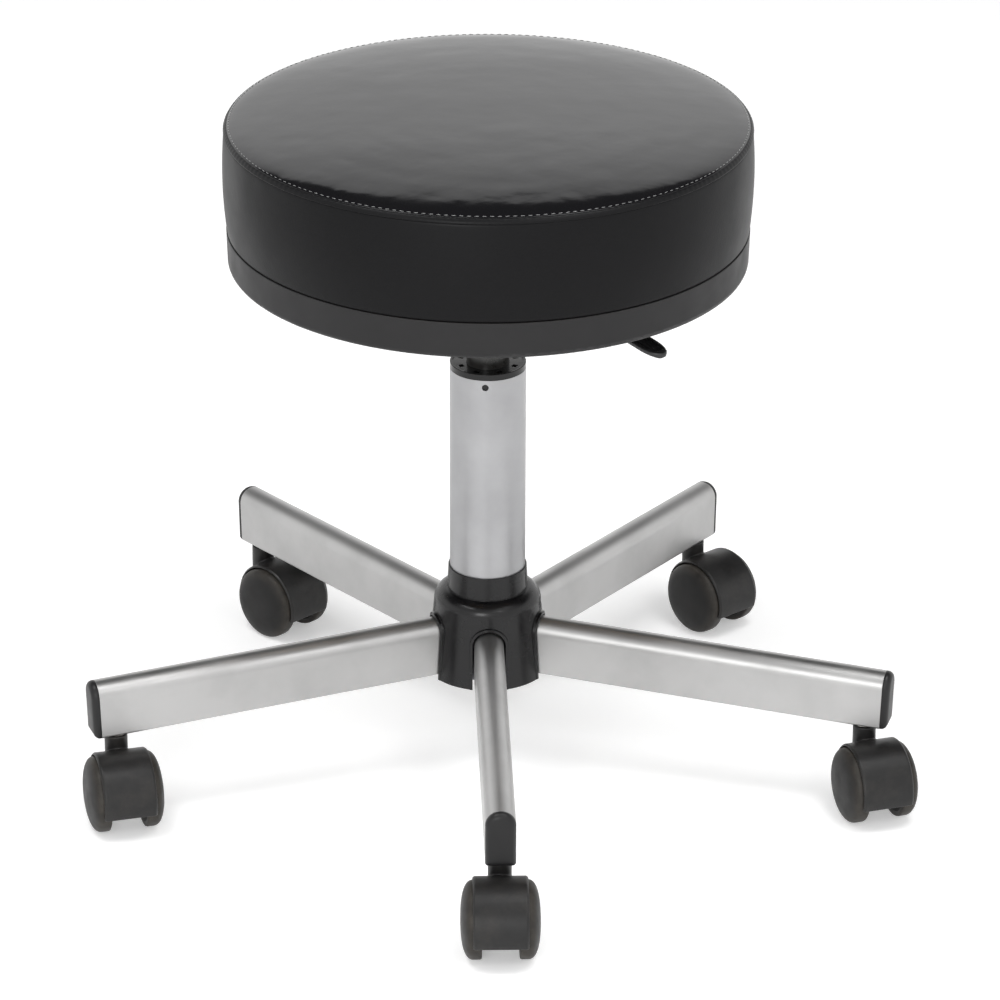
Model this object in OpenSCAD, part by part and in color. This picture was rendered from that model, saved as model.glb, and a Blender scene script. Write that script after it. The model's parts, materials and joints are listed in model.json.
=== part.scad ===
// Adjustable swivel stool: round padded seat on a gas-lift column, five tube arms, twin-wheel casters.
// Origin on the floor under the column axis, +Z up, the first arm towards -Y. Millimetres.

/* [Seat] */
// Widest diameter of the upholstered cushion
seat_diameter = 342.6; // [280:0.2:420]
// Cushion height, from the lip of the base pan to the top seam
cushion_height = 69.7; // [50:0.1:110]
// How far the padded top rises from its seam to its middle
crown_rise = 9; // [3:0.5:20]
// Thickness of the vinyl cover
vinyl_thickness = 1.2; // [0.8:0.1:2]
// Thickness of the plywood seat board
board_thickness = 12; // [9:1:18]
// Height of the plastic base pan
pan_height = 24.3; // [18:0.1:34]
// Wall thickness of the base pan
pan_wall = 2.5; // [2:0.1:4]
// Radius of the open middle of the base pan
pan_opening_r = 105; // [98:1:120]
// Gap between the column's bush and the base pan with the seat down
seat_gap = 71.7; // [60:0.1:100]

/* [Column] */
// Outer diameter of the column tube
column_diameter = 50; // [45:0.5:60]
// Wall thickness of the column tube
column_wall = 2.3; // [1.5:0.1:3]
// Length of column tube that shows above the hub cover
column_show = 142; // [110:1:220]
// Travel of the gas lift
lift_travel = 120; // [60:5:125]
// Outer diameter of the gas cylinder
cylinder_diameter = 28; // [26:0.5:30]
// Wall thickness of the gas cylinder
cylinder_wall = 1.5; // [1.2:0.1:2]
// Diameter of the piston rod
rod_diameter = 10; // [8:0.5:12]

/* [Base] */
// Distance from the column axis to the outer end of each arm tube
arm_reach = 270.5; // [220:0.5:330]
// Width of the arm tube
arm_width = 19.5; // [16:0.1:24]
// Height of the arm tube, whose top is round
arm_height = 38; // [30:0.5:48]
// Wall thickness of the arm tube
arm_wall = 1.5; // [1:0.1:2.5]
// Downward slope of the arms, in degrees
arm_fall = 2; // [0:0.1:5]
// Length of the end cap outside the tube
cap_length = 5; // [3:0.5:10]
// Turn of the whole base about the column, in degrees
base_turn = 1.8; // [-36:0.1:36]
// Diameter of the hub cover at its foot
hub_diameter = 80; // [79:0.5:100]

/* [Casters] */
// Diameter of the caster wheels
wheel_diameter = 50; // [40:1:65]
// Width of a caster over both wheels
caster_width = 50.4; // [46:0.2:60]
// Distance from a caster's swivel axis to its axle
caster_trail = 20.4; // [18:0.2:28]
// Distance from the end of the arm tube to the caster stem
stem_inset = 11.9; // [11:0.1:30]
// Diameter of the caster stem in its socket
stem_diameter = 11; // [8:0.5:12]
// Direction in which each caster trails at rest, in degrees
caster_trails = [-88.7, -72.2, -48.9, -44.5, -74.9]; // [-180:0.1:180]

/* [Lever] */
// Direction of the height lever, in degrees
lever_bearing = -44; // [-90:1:0]
// Distance from the column axis to the tip of the lever
lever_reach = 158; // [145:1:200]
// Width of the lever's paddle
paddle_width = 17; // [13:0.5:24]
// Downward tilt of the paddle, in degrees
paddle_tilt = 11; // [0:1:20]

/* [Hidden] */
$fn = 96;
eps = 0.01;
run = 0.05;        // radial clearance of a shaft that turns or slides in a bore
slip = 0.1;        // clearance of a plug inside a tube
arm_count = 5;
arms = [1:arm_count];

// Caster heights
wheel_r = wheel_diameter / 2;
caster_height = wheel_diameter + 10;
hood_gap = 0.7;
hood_wall = 1.6;
hood_r = wheel_r + hood_gap + hood_wall;
hood_half = 17.7;
hood_low = wheel_r - 7.5;
neck_r = 7.6;
neck_top = caster_height - 1.9;
washer_r = 6.6;
washer_thickness = 1.2;
washer_gap = 0.4;
swivel_pin_r = 4;
neck_low = hood_low + 2;
swivel_pin_low = hood_low + 6;
web_half = 5;
axle_r = 3;
axle_half = 19.5;
tread_in = 11.9;
tread_out = 16.9;
tread_depth = 3.5;
wheel_hub_r = 8;
wheel_hub_in = web_half + 0.5;
dome_wall = 2.2;

// Base heights
stem_r = arm_reach - stem_inset;
arm_corner = 1.5;
plug_length = 34;
socket_drop = 5;     // the socket is cut from this far below the arm's foot
stem_up = 22;
stem_point = 2;
stem_room = 0.5;
cap_corner_low = 4;
cap_corner_high = 3;
cap_corner_side = 2.5;
under_axis = caster_height + stem_r * tan(arm_fall);
core_wall = 4;
core_r = column_diameter / 2 + core_wall;
core_low = under_axis - 2;
core_high = under_axis + arm_height + 5;
cover_low = under_axis - 4;
cover_high = under_axis + arm_height + 17.2;
cover_wall = 2;
cover_round = 9;
cover_shoulder_r = hub_diameter / 2 - 4.4;
arch_drop = 20;      // the archways start this far below the arms
slot_gap = 1.2;
lip_width = 1.8;
lip_rise = 0.4;
lip_lean = 2.6;
collar_r = column_diameter / 2 + 1;
collar_flare = 0.8;
collar_high = cover_high + 15.8;

// Column heights
column_r = column_diameter / 2;
bore_r = column_r - column_wall;
tube_low = cover_low + 1.5;
tube_high = collar_high + column_show;
rim_height = 4;
rim_top = tube_high + rim_height;
bush_length = 50;
peg_r = 2;
peg_drop = 4.9;
peg_bearing = -93.9;
foot_low = tube_low + 2;
foot_height = 4;
race_height = 2;
race_r = 12;
ball_r = 1.5;
ball_ring_r = 8.5;
ball_count = 12;
ball_gap = 0.02;
race_low_top = foot_low + foot_height + race_height;
race_high_low = race_low_top + 2 * (ball_r + ball_gap);
clip_height = 1.5;
clip_groove = 1;
clip_r = rod_diameter / 2 + 3;
clip_top = foot_low - 0.3;

// Gas lift heights, with the seat down
rod_r = rod_diameter / 2;
rod_low = tube_low - 1;
cylinder_r = cylinder_diameter / 2;
cylinder_bore_r = cylinder_r - cylinder_wall;
cylinder_low = race_high_low + race_height + 9;
guide_height = 16;
spacer_play = 1;    // left between the rod guide and the spacer at full height
spacer_wall = 2.5;
sleeve_low = rim_top + 10;
sleeve_length = 38;
box_floor = sleeve_low + sleeve_length;
plate_wall = 3;
taper_length = sleeve_length + plate_wall + 2;
cylinder_top = sleeve_low + taper_length;
taper_top_r = cylinder_r - 1;
chamber_top = sleeve_low + 20;
piston_height = 12;
piston_top = chamber_top - 4;
spacer_top = piston_top - piston_height;
spacer_low = cylinder_low + guide_height + lift_travel + spacer_play;
pin_r = 2;
sleeve_wall = 5;

// Seat heights, with the seat down
seat_r = seat_diameter / 2;
pan_low = rim_top + seat_gap;
pan_lip = pan_low + pan_height;
pan_r = seat_r - 2.4;
board_r = pan_r - pan_wall - 0.9;
board_high = pan_lip + 1.5;
board_low = board_high - board_thickness;
seam_z = pan_lip + cushion_height;
seam_r = seat_r - 3.4;
panel_r = seam_r - vinyl_thickness;
strip_depth = 4.1;
band_foot = 0.6;
band_bulge = 7.6;
band_middle = 0.55;
band_steps = 10;
crown_steps = 8;

// Seat fixings
plate_length = 170;
plate_width = 120;
bolt_x = 70;
bolt_y = 45;
bolt_r = 3;
bolt_head_r = 5.5;
bolt_head = 4;
tee_r = 4;
tee_flange_r = 8.5;
tee_flange = 1.2;
tee_depth = 10;
box_length = 84;
box_width = 62;
post_ring_r = (pan_opening_r + pan_r - pan_wall) / 2;
post_r = 6;
post_count = 4;
screw_r = 2;
screw_head_r = 3.8;
screw_head = 2.5;
screw_sink = 0.5;
screw_bite = 8;

// Lever
lever_rod_r = 3.5;
pivot_x = 24;
pivot_r = 2.5;
pin_gap = 0.3;
pivot_z = box_floor + plate_wall + 11;
pin_top = pivot_z - lever_rod_r - pin_gap;
paddle_root = 106;
paddle_thickness = 9;
paddle_socket = 20;
window_length = 12;
window_height = 14;

arm_names = [for (k = arms) str("arm_", k)];
cap_names = [for (k = arms) str("end_cap_", k)];
stem_names = [for (k = arms) str("caster_stem_", k)];
hood_names = [for (k = arms) str("caster_hood_", k)];
axle_names = [for (k = arms) str("caster_axle_", k)];
left_names = [for (k = arms) str("wheel_left_", k)];
right_names = [for (k = arms) str("wheel_right_", k)];

// ---- Placing ----

function arm_bearing(k) = -90 + base_turn + (k - 1) * 360 / arm_count;

// Along arm k: x runs outwards on the sloping underside, y across it, z up from it
module along_arm(k) {
    rotate([0, 0, arm_bearing(k)])
        translate([0, 0, under_axis])
            rotate([0, arm_fall, 0])
                children();
}

// At the stem of arm k, upright, on the floor
module at_stem(k) {
    rotate([0, 0, arm_bearing(k)])
        translate([stem_r, 0, 0])
            children();
}

// In caster k: origin on the floor under the stem, x towards the axle, y along it
module at_caster(k) {
    at_stem(k)
        rotate([0, 0, caster_trails[k - 1] - arm_bearing(k)])
            children();
}

// On the axle of caster k: z runs along the axle
module at_axle(k) {
    at_caster(k)
        translate([caster_trail, 0, wheel_r])
            rotate([-90, 0, 0])
                children();
}

module at_lever() {
    rotate([0, 0, lever_bearing])
        children();
}

module ring(outer, inner, height) {
    difference() {
        cylinder(r = outer, h = height);
        translate([0, 0, -1])
            cylinder(r = inner, h = height + 2);
    }
}

// ---- Five-arm base ----

// Arm section: flat sides and foot, small lower corners, round top
module arm_section(w, h, corner) {
    translate([0, h - w / 2])
        circle(r = w / 2);
    translate([-w / 2, corner])
        square([w, h - w / 2 - corner]);
    translate([-w / 2 + corner, 0])
        square([w - 2 * corner, h - w / 2]);
    for (side = [-1, 1])
        translate([side * (w / 2 - corner), corner])
            circle(r = corner);
}

// A length of arm section, shrunk on every side by inset, from x = from to x = to
module arm_bar(from, to, inset) {
    translate([from, 0, inset])
        rotate([90, 0, 90])
            linear_extrude(to - from)
                arm_section(arm_width - 2 * inset, arm_height - 2 * inset, arm_corner);
}

module arm(k) {
    color([0.78, 0.78, 0.79])
        difference() {
            along_arm(k)
                difference() {
                    arm_bar(0, arm_reach, 0);
                    arm_bar(-1, arm_reach + 1, arm_wall);
                }
            translate([0, 0, cover_low - 10])
                cylinder(r = core_r, h = arm_height + 40);
            at_stem(k)
                translate([0, 0, caster_height - socket_drop])
                    cylinder(r = stem_diameter / 2 + stem_room, h = 2 * socket_drop);
        }
}

// Rounded block that trims the corners of an end cap
module cap_rounding(corner_low, corner_high, corner_side) {
    reach = 20;
    intersection() {
        translate([0, arm_width, 0])
            rotate([90, 0, 0])
                linear_extrude(2 * arm_width) {
                    translate([-reach, 0])
                        square([reach + cap_length - corner_low, arm_height]);
                    translate([-reach, corner_low])
                        square([reach + cap_length, arm_height - corner_low - corner_high]);
                    translate([cap_length - corner_low, corner_low])
                        circle(r = corner_low);
                    translate([cap_length - corner_high, arm_height - corner_high])
                        circle(r = corner_high);
                }
        linear_extrude(arm_height) {
            translate([-reach, -arm_width / 2])
                square([reach + cap_length - corner_side, arm_width]);
            translate([-reach, -arm_width / 2 + corner_side])
                square([reach + cap_length, arm_width - 2 * corner_side]);
            for (side = [-1, 1])
                translate([cap_length - corner_side, side * (arm_width / 2 - corner_side)])
                    circle(r = corner_side);
        }
    }
}

module end_cap(k) {
    color([0.11, 0.11, 0.12])
        difference() {
            along_arm(k) {
                arm_bar(arm_reach - plug_length, arm_reach + 1, arm_wall + slip);
                intersection() {
                    arm_bar(arm_reach + eps, arm_reach + cap_length, 0);
                    translate([arm_reach, 0, 0])
                        cap_rounding(cap_corner_low, cap_corner_high, cap_corner_side);
                }
            }
            at_stem(k)
                translate([0, 0, caster_height - socket_drop])
                    cylinder(r = stem_diameter / 2, h = stem_up + socket_drop + stem_room);
        }
}

module hub_core() {
    color([0.3, 0.3, 0.32])
        translate([0, 0, core_low])
            ring(core_r, column_r, core_high - core_low);
}

// Half section of the hub cover, moved inwards by inset and past its ends by spare
module cover_section(inset, spare) {
    foot_r = hub_diameter / 2 - inset;
    shoulder_r = cover_shoulder_r - inset;
    centre = [cover_shoulder_r - cover_round, cover_high - cover_round];
    polygon([
        [0, cover_low - spare],
        [foot_r, cover_low - spare],
        [shoulder_r, centre.y],
        [centre.x, centre.y],
        [centre.x, cover_high - inset],
        [collar_r + collar_flare - inset, cover_high - inset],
        [collar_r - inset, collar_high + spare],
        [0, collar_high + spare]
    ]);
    translate(centre)
        circle(r = cover_round - inset);
}

// Upright archway of the hub cover around arm k, out to radius reach
module archway(k, widening, reach) {
    along_arm(k)
        translate([column_r, 0, -arch_drop])
            rotate([90, 0, 90])
                linear_extrude(reach - column_r)
                    arm_section(arm_width + 2 * widening, arm_height + widening + arch_drop, 1);
}

module hub_cover() {
    color([0.1, 0.1, 0.11])
        difference() {
            union() {
                rotate_extrude()
                    cover_section(0, 0);
                intersection() {
                    union() {
                        for (k = arms)
                            archway(k, slot_gap + lip_width, hub_diameter);
                    }
                    translate([0, 0, cover_low])
                        cylinder(
                            r1 = hub_diameter / 2 + lip_rise,
                            r2 = hub_diameter / 2 + lip_rise - lip_lean,
                            h = arm_height + slot_gap + lip_width + 10
                        );
                }
            }
            rotate_extrude()
                cover_section(cover_wall, 1);
            translate([0, 0, cover_low])
                cylinder(r = column_r + slip, h = collar_high);
            for (k = arms)
                archway(k, slot_gap, hub_diameter + 10);
        }
}

// ---- Casters ----

module caster_stem(k) {
    color([0.72, 0.71, 0.68])
        at_stem(k) {
            translate([0, 0, caster_height - washer_gap - eps])
                cylinder(r = stem_diameter / 2, h = stem_up + washer_gap - stem_point);
            translate([0, 0, caster_height + stem_up - stem_point - 2 * eps])
                cylinder(r1 = stem_diameter / 2, r2 = stem_diameter / 2 - 1.5, h = stem_point);
            translate([0, 0, caster_height - washer_gap - washer_thickness])
                cylinder(r = washer_r, h = washer_thickness);
            translate([0, 0, swivel_pin_low])
                cylinder(r = swivel_pin_r, h = caster_height - washer_gap - swivel_pin_low);
        }
}

module caster_hood(k) {
    color([0.13, 0.13, 0.14])
        difference() {
            union() {
                at_axle(k) {
                    translate([0, 0, -hood_half])
                        ring(hood_r, hood_r - hood_wall, 2 * hood_half);
                    translate([0, 0, -web_half])
                        cylinder(r = hood_r - eps, h = 2 * web_half);
                }
                at_stem(k)
                    translate([0, 0, neck_low])
                        cylinder(r = neck_r, h = neck_top - neck_low);
            }
            at_axle(k)
                translate([0, 0, -hood_half - 1])
                    cylinder(r = axle_r, h = 2 * hood_half + 2);
            at_stem(k)
                translate([0, 0, swivel_pin_low - 1])
                    cylinder(r = swivel_pin_r + run, h = caster_height);
            at_caster(k)
                translate([caster_trail - 2 * hood_r, -hood_r, -wheel_r])
                    cube([4 * hood_r, 2 * hood_r, wheel_r + hood_low]);
        }
}

module caster_axle(k) {
    color([0.66, 0.66, 0.66])
        at_axle(k)
            translate([0, 0, -axle_half])
                cylinder(r = axle_r, h = 2 * axle_half);
}

// One wheel, its axis along z: tread ring, domed outer face and hub, on the side of +z
module wheel_solid() {
    dome_high = caster_width / 2;
    inner_high = dome_high - dome_wall;
    inner_rim = wheel_r - tread_depth;
    inner_low = tread_out - 1.4;
    hub_angle = acos(wheel_hub_r / inner_rim);
    rotate_extrude()
        polygon(concat(
            [[axle_r + run, wheel_hub_in], [wheel_hub_r, wheel_hub_in]],
            [for (t = [4:-1:0]) let (a = hub_angle * t / 4)
                [inner_rim * cos(a), inner_low + (inner_high - inner_low) * sin(a)]],
            [[inner_rim, tread_in], [wheel_r - 1, tread_in], [wheel_r, tread_in + 1]],
            [for (t = [0:8]) let (a = 90 * t / 8)
                [wheel_r * cos(a), tread_out + (dome_high - tread_out) * sin(a)]],
            [[0, axle_half + 0.5], [axle_r + run, axle_half + 0.5]]
        ));
}

module wheel(k, side) {
    color([0.16, 0.16, 0.16])
        at_axle(k)
            rotate([side > 0 ? 0 : 180, 0, 0])
                wheel_solid();
}

// ---- Column ----

module column_tube() {
    color([0.72, 0.72, 0.73])
        difference() {
            translate([0, 0, tube_low])
                ring(column_r, bore_r, tube_high - tube_low);
            rotate([0, 0, peg_bearing])
                translate([bore_r - 3, 0, tube_high - peg_drop])
                    rotate([0, 90, 0])
                        cylinder(r = peg_r + 0.2, h = column_wall + 6);
        }
}

module guide_bush() {
    face_drop = 0.8;
    edge = 1.4;
    pocket_ring = (cylinder_r + column_r - edge) / 2;
    color([0.12, 0.12, 0.12])
        difference() {
            union() {
                translate([0, 0, tube_high])
                    cylinder(r = column_r - 0.1, h = rim_height);
                translate([0, 0, tube_high - bush_length])
                    cylinder(r = bore_r, h = bush_length + eps);
                rotate([0, 0, peg_bearing])
                    translate([bore_r - 3, 0, tube_high - peg_drop])
                        rotate([0, 90, 0])
                            cylinder(r = peg_r, h = column_wall + 2);
            }
            translate([0, 0, tube_high - bush_length - 1])
                cylinder(r = cylinder_r + run, h = bush_length + rim_height + 2);
            translate([0, 0, rim_top - face_drop])
                cylinder(r = column_r - edge, h = rim_height);
            for (a = [0:45:315])
                rotate([0, 0, a + 22.5])
                    translate([pocket_ring, 0, rim_top - 2])
                        cube([3.4, 4, 4], center = true);
        }
}

module column_foot() {
    color([0.5, 0.5, 0.52])
        translate([0, 0, foot_low])
            ring(bore_r, rod_r + run, foot_height);
}

module bearing_lower_race() {
    color([0.75, 0.75, 0.77])
        translate([0, 0, foot_low + foot_height])
            ring(race_r, rod_r + run, race_height);
}

module bearing_upper_race() {
    color([0.75, 0.75, 0.77])
        translate([0, 0, race_high_low])
            ring(race_r, rod_r, race_height);
}

module bearing_balls() {
    color([0.85, 0.85, 0.87])
        for (i = [0:ball_count - 1])
            rotate([0, 0, i * 360 / ball_count])
                translate([ball_ring_r, 0, race_low_top + ball_r + ball_gap])
                    sphere(r = ball_r);
}

module rod_clip() {
    color([0.35, 0.35, 0.36])
        translate([0, 0, clip_top - clip_height])
            difference() {
                ring(clip_r, rod_r - clip_groove, clip_height);
                translate([0, -2, -1])
                    cube([clip_r + 1, 4, clip_height + 2]);
            }
}

// Rod with its piston and the spacer sleeve that ends the lift's stroke
module piston_rod() {
    color([0.82, 0.82, 0.84])
        difference() {
            union() {
                translate([0, 0, rod_low])
                    cylinder(r = rod_r, h = piston_top - rod_low);
                translate([0, 0, spacer_top])
                    cylinder(r = cylinder_bore_r - run, h = piston_height);
                translate([0, 0, spacer_low])
                    cylinder(r = rod_r + spacer_wall, h = spacer_top - spacer_low + eps);
            }
            translate([0, 0, clip_top - clip_height])
                ring(rod_r + 1, rod_r - clip_groove, clip_height);
        }
}

// ---- Gas lift and seat mechanism ----

module gas_cylinder() {
    color([0.25, 0.25, 0.27])
        difference() {
            union() {
                translate([0, 0, cylinder_low])
                    cylinder(r = cylinder_r, h = sleeve_low - cylinder_low + eps);
                translate([0, 0, sleeve_low])
                    cylinder(r1 = cylinder_r, r2 = taper_top_r, h = taper_length);
            }
            translate([0, 0, cylinder_low - 1])
                cylinder(r = cylinder_bore_r, h = chamber_top - cylinder_low + 1);
            translate([0, 0, chamber_top - 1])
                cylinder(r = pin_r + run, h = cylinder_top - chamber_top + 2);
        }
}

module rod_guide() {
    color([0.2, 0.2, 0.22])
        translate([0, 0, cylinder_low])
            ring(cylinder_bore_r, rod_r + run, guide_height);
}

module release_pin() {
    color([0.85, 0.68, 0.4])
        translate([0, 0, chamber_top + 4])
            cylinder(r = pin_r, h = pin_top - chamber_top - 4);
}

module at_bolts() {
    at_lever()
        for (x = [-bolt_x, bolt_x], y = [-bolt_y, bolt_y])
            translate([x, y, 0])
                children();
}

// Pressed box with bolting flanges and a tapered sleeve that grips the gas cylinder
module seat_mechanism() {
    flange_low = board_low - plate_wall;
    box_inside = [box_length - 2 * plate_wall, box_width - 2 * plate_wall];
    color([0.16, 0.16, 0.17])
        difference() {
            union() {
                at_lever() {
                    translate([-plate_length / 2, -plate_width / 2, flange_low])
                        cube([plate_length, plate_width, plate_wall]);
                    translate([-box_length / 2, -box_width / 2, box_floor])
                        cube([box_length, box_width, flange_low - box_floor + eps]);
                }
                translate([0, 0, sleeve_low])
                    cylinder(r = cylinder_r + sleeve_wall, h = sleeve_length + eps);
            }
            at_lever() {
                translate([-box_inside.x / 2, -box_inside.y / 2, box_floor + plate_wall])
                    cube([box_inside.x, box_inside.y, board_low]);
                translate([
                    box_length / 2 - window_length / 2,
                    -window_length / 2,
                    pivot_z - window_height / 2
                ])
                    cube([window_length, window_length, window_height]);
                translate([pivot_x, box_width / 2 + 1, pivot_z])
                    rotate([90, 0, 0])
                        cylinder(r = pivot_r + run, h = box_width + 2);
            }
            translate([0, 0, sleeve_low])
                cylinder(r1 = cylinder_r + 0.02, r2 = taper_top_r + 0.02, h = taper_length);
            at_bolts()
                translate([0, 0, flange_low - 1])
                    cylinder(r = bolt_r + 0.3, h = plate_wall + 2);
        }
}

module mechanism_bolts() {
    color([0.7, 0.7, 0.72])
        at_bolts() {
            translate([0, 0, board_low - plate_wall - bolt_head])
                cylinder(r = bolt_head_r, h = bolt_head, $fn = 6);
            translate([0, 0, board_low - plate_wall - eps])
                cylinder(r = bolt_r, h = plate_wall + board_thickness - 1);
        }
}

module tee_nuts() {
    color([0.75, 0.72, 0.6])
        at_bolts() {
            translate([0, 0, board_high - tee_flange])
                ring(tee_flange_r, bolt_r, tee_flange);
            translate([0, 0, board_high - tee_depth])
                ring(tee_r, bolt_r, tee_depth - tee_flange + eps);
        }
}

// ---- Lever, in its own direction ----

module lever_rod() {
    color([0.6, 0.6, 0.61])
        at_lever()
            difference() {
                translate([-6, 0, pivot_z])
                    rotate([0, 90, 0])
                        cylinder(r = lever_rod_r, h = paddle_root + paddle_socket + 6);
                translate([pivot_x, lever_rod_r + 1, pivot_z])
                    rotate([90, 0, 0])
                        cylinder(r = pivot_r, h = 2 * lever_rod_r + 2);
            }
}

module lever_pivot() {
    color([0.6, 0.6, 0.61])
        at_lever()
            translate([pivot_x, box_width / 2 + 2, pivot_z])
                rotate([90, 0, 0])
                    cylinder(r = pivot_r, h = box_width + 4);
}

// Paddle seen from above, with its round tip
module paddle_outline(length, width) {
    square([length - width / 2, width], center = false);
    translate([length - width / 2, width / 2])
        circle(r = width / 2);
}

module lever_paddle() {
    length = lever_reach - paddle_root;
    recess = 3;
    rib = 1.4;
    color([0.11, 0.11, 0.12])
        at_lever()
            difference() {
                translate([paddle_root, 0, pivot_z])
                    rotate([0, paddle_tilt, 0])
                        difference() {
                            translate([0, -paddle_width / 2, -paddle_thickness / 2])
                                linear_extrude(paddle_thickness)
                                    paddle_outline(length, paddle_width);
                            translate([
                                paddle_socket + 4,
                                -paddle_width / 2 + recess,
                                paddle_thickness / 2 - 2
                            ])
                                linear_extrude(3)
                                    difference() {
                                        paddle_outline(length - paddle_socket - 4 - recess,
                                            paddle_width - 2 * recess);
                                        for (side = [1, 2])
                                            translate([0, side * (paddle_width - 2 * recess) / 3 - rib / 2])
                                                square([length, rib]);
                                    }
                        }
                translate([paddle_root - 2, 0, pivot_z])
                    rotate([0, 90, 0])
                        cylinder(r = lever_rod_r, h = paddle_socket + 2);
            }
}

// ---- Seat ----

module seat_board() {
    color([0.74, 0.6, 0.42])
        difference() {
            translate([0, 0, board_low])
                cylinder(r = board_r, h = board_thickness);
            at_bolts() {
                translate([0, 0, board_low - 1])
                    cylinder(r = tee_r, h = board_thickness + 2);
                translate([0, 0, board_high - tee_flange])
                    cylinder(r = tee_flange_r, h = tee_flange + 1);
            }
            at_posts()
                translate([0, 0, board_low - 1])
                    cylinder(r = screw_r, h = screw_bite + 1);
        }
}

// Outer radius of the cushion's side at fraction f of its height, a shallow bulge
function side_r(f) = seat_r - band_bulge * pow(f - band_middle, 2);

// Points up the cushion's side, moved inwards by inset
function side_points(inset) = [
    for (i = [0:band_steps])
        let (z = band_foot + (cushion_height - strip_depth - band_foot) * i / band_steps)
        [side_r(z / cushion_height) - inset, pan_lip + z]
];

// Points over the crown from the panel's edge to the axis, lowered by inset
function crown_points(inset) = [
    for (i = [crown_steps:-1:0])
        let (r = panel_r * i / crown_steps)
        [r, seam_z + crown_rise * (1 - pow(r / panel_r, 2)) - inset]
];

module seat_foam() {
    color([0.85, 0.8, 0.6])
        difference() {
            rotate_extrude()
                polygon(concat(
                    [[0, pan_lip + band_foot]],
                    side_points(vinyl_thickness),
                    crown_points(vinyl_thickness)
                ));
            translate([0, 0, pan_lip - 1])
                cylinder(r = board_r, h = board_high - pan_lip + 1);
        }
}

module seat_side_cover() {
    outer = side_points(0);
    inner = side_points(vinyl_thickness);
    color([0.13, 0.13, 0.14])
        rotate_extrude()
            polygon(concat(
                outer,
                [[seam_r, seam_z], [panel_r, seam_z], [panel_r, seam_z - vinyl_thickness]],
                [for (i = [band_steps:-1:0]) inner[i]]
            ));
}

module seat_top_cover() {
    upper = crown_points(0);
    lower = crown_points(vinyl_thickness);
    color([0.3, 0.3, 0.31])
        rotate_extrude()
            polygon(concat(upper, [for (i = [crown_steps:-1:0]) lower[i]]));
}

module at_posts() {
    for (i = [0:post_count - 1])
        rotate([0, 0, lever_bearing + 45 + i * 360 / post_count])
            translate([post_ring_r, 0, 0])
                children();
}

module base_pan() {
    corner = 4;
    color([0.24, 0.24, 0.25])
        difference() {
            union() {
                rotate_extrude() {
                    difference() {
                        union() {
                            translate([pan_opening_r, pan_low])
                                square([pan_r - corner - pan_opening_r, pan_wall]);
                            polygon([
                                [pan_r - corner - 1, pan_low + corner],
                                [pan_r - 0.6, pan_low + corner],
                                [pan_r, pan_lip],
                                [pan_r - corner - 1, pan_lip]
                            ]);
                            translate([pan_r - corner - 0.6, pan_low + corner])
                                circle(r = corner);
                        }
                        translate([pan_opening_r, pan_low + pan_wall])
                            square([pan_r - pan_wall - pan_opening_r, pan_height]);
                    }
                    translate([pan_opening_r, pan_low])
                        square([pan_wall, board_low - pan_low]);
                }
                at_posts()
                    translate([0, 0, pan_low + 1])
                        cylinder(r = post_r, h = board_low - pan_low - 1);
            }
            at_posts() {
                translate([0, 0, pan_low - 1])
                    cylinder(r = screw_r + 0.2, h = pan_height);
                translate([0, 0, pan_low - 1])
                    cylinder(r = screw_head_r + 0.4, h = 1 + screw_sink + screw_head);
            }
        }
}

module pan_screws() {
    color([0.2, 0.2, 0.2])
        at_posts() {
            translate([0, 0, pan_low + screw_sink])
                cylinder(r = screw_head_r, h = screw_head);
            translate([0, 0, pan_low + screw_head])
                cylinder(r = screw_r, h = board_low + screw_bite - pan_low - screw_head - 0.2);
        }
}

// ---- Nodes ----

hub_core();
hub_cover();
column_tube();
guide_bush();
column_foot();
bearing_lower_race();
piston_rod();
bearing_balls();
bearing_upper_race();
rod_clip();
gas_cylinder();
rod_guide();
seat_mechanism();
mechanism_bolts();
tee_nuts();
seat_board();
seat_foam();
seat_top_cover();
seat_side_cover();
base_pan();
pan_screws();
lever_rod();
lever_pivot();
lever_paddle();
release_pin();
for (k = arms) {
    arm(k);
    end_cap(k);
    caster_stem(k);
    caster_hood(k);
    caster_axle(k);
    wheel(k, 1);
    wheel(k, -1);
}
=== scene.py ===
"""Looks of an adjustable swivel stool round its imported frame: upholstery, plastics, metals and a studio."""

import json
import math

import bmesh
import bpy
from mathutils import Matrix, Vector, noise


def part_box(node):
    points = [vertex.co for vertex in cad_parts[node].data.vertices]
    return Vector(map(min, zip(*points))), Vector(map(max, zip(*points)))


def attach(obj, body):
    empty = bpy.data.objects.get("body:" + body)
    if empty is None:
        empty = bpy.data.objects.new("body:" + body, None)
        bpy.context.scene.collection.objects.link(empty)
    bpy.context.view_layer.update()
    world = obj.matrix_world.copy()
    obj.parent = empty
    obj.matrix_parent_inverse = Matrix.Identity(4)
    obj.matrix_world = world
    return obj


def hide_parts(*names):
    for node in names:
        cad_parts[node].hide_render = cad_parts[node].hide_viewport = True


bl_info = {
    "name": "Swivel Stool",
    "version": (1, 0, 0),
    "blender": (4, 5, 0),
    "location": "3D View > Sidebar > Stool",
    "description": "Makes the upholstery, casters and finishes of a swivel stool round its frame",
    "category": "Object",
}

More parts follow.
